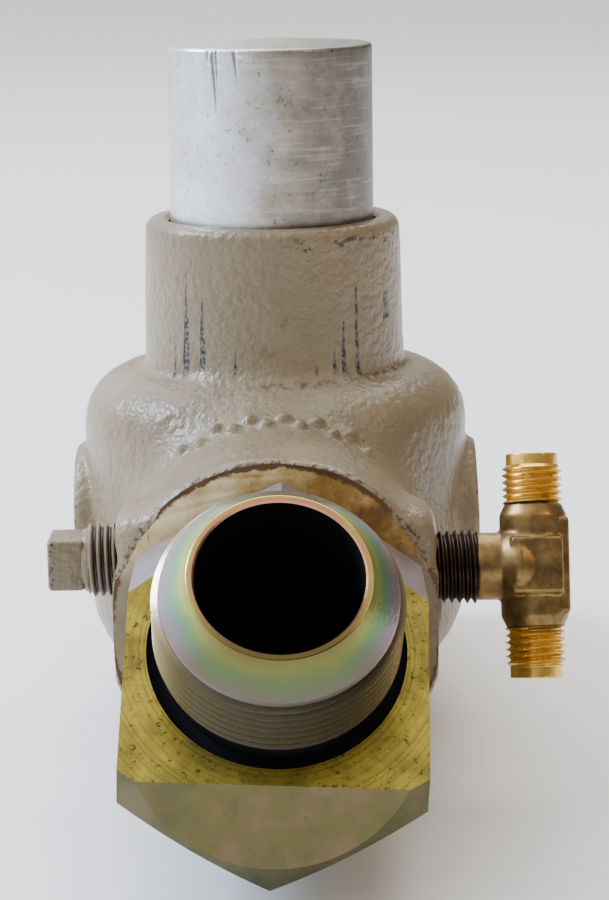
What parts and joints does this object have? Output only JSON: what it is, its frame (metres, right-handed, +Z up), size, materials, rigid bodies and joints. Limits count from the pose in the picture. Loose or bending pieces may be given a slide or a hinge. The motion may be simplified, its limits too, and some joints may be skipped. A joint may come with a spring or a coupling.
{
  "type": "air pressure regulator",
  "caption": "Inline piston air pressure regulator: cast body with spring barrel and round screw cap, 45 degree flare inlet elbow, threaded outlet, gauge-port plug and branch tee.",
  "frame": {"origin": "centre of the flat machined foot under the casting, on the axis of barrel, piston and valve", "axes": "+Z up along the barrel towards the adjusting cap, -Y out of the inlet towards the flare elbow, +Y out of the outlet port, +X towards the branch tee"},
  "size_m": [0.0958, 0.1913, 0.1368],
  "materials": {
    "tan_painted_casting": "semi-gloss tan enamel over a sand casting",
    "plated_steel_cap": "bare zinc-plated steel, scratched",
    "yellow_chromated_steel": "zinc plate with yellow iridescent passivation",
    "tan_painted_plug": "semi-gloss tan enamel, chipped edges",
    "forged_brass": "forged brass, brown oxide, bright machined ends",
    "nitrile_rubber": "black nitrile",
    "spring_steel": "oil-tempered spring wire",
    "machined_aluminium": "turned aluminium",
    "stainless_steel": "turned stainless steel",
    "bronze_bushing": "sintered bronze",
    "guide_band_plastic": "natural acetal",
    "machined_steel": "turned steel, lightly oiled"
  },
  "bodies": {
    "casting": {"regulator_body": "tan_painted_casting", "inlet_elbow": "yellow_chromated_steel", "elbow_o_ring": "nitrile_rubber", "pipe_plug": "tan_painted_plug", "branch_tee": "forged_brass", "seat_ring": "stainless_steel", "seat_ring_o_ring": "nitrile_rubber", "return_spring": "spring_steel", "bottom_plug": "machined_steel", "bottom_plug_o_ring": "nitrile_rubber", "guide_bushing": "bronze_bushing"},
    "spring_button": {"upper_spring_seat": "machined_steel", "range_spring": "spring_steel"},
    "cap": {"spring_cap": "plated_steel_cap", "cap_o_ring": "nitrile_rubber"},
    "valve": {"piston": "machined_aluminium", "piston_o_ring": "nitrile_rubber", "piston_wear_band": "guide_band_plastic", "piston_nut": "machined_steel", "lower_spring_seat": "machined_steel", "valve_stem": "stainless_steel", "valve_poppet": "stainless_steel", "valve_seat_disc": "nitrile_rubber", "disc_washer": "stainless_steel", "poppet_nut": "machined_steel"}
  },
  "joints": [
    {"name": "cap_feed", "type": "slide", "parent": "casting", "child": "spring_button", "axis": [0, 0, 1], "range_m": [-0.00529, 0.00529], "deforming": ["range_spring"]},
    {"name": "cap_turn", "type": "hinge", "parent": "spring_button", "child": "cap", "pos_m": [0, 0, 0.1], "axis": [0, 0, 1], "range_deg": [-900, 900]},
    {"name": "valve_stroke", "type": "slide", "parent": "casting", "child": "valve", "axis": [0, 0, 1], "range_m": [0, 0.005], "stiffness_N_per_m": 15000, "deforming": ["return_spring"]}
  ],
  "couplings": [
    {"joint": "cap_turn", "follows": "cap_feed", "rad_per_m": 2968.4}
  ]
}
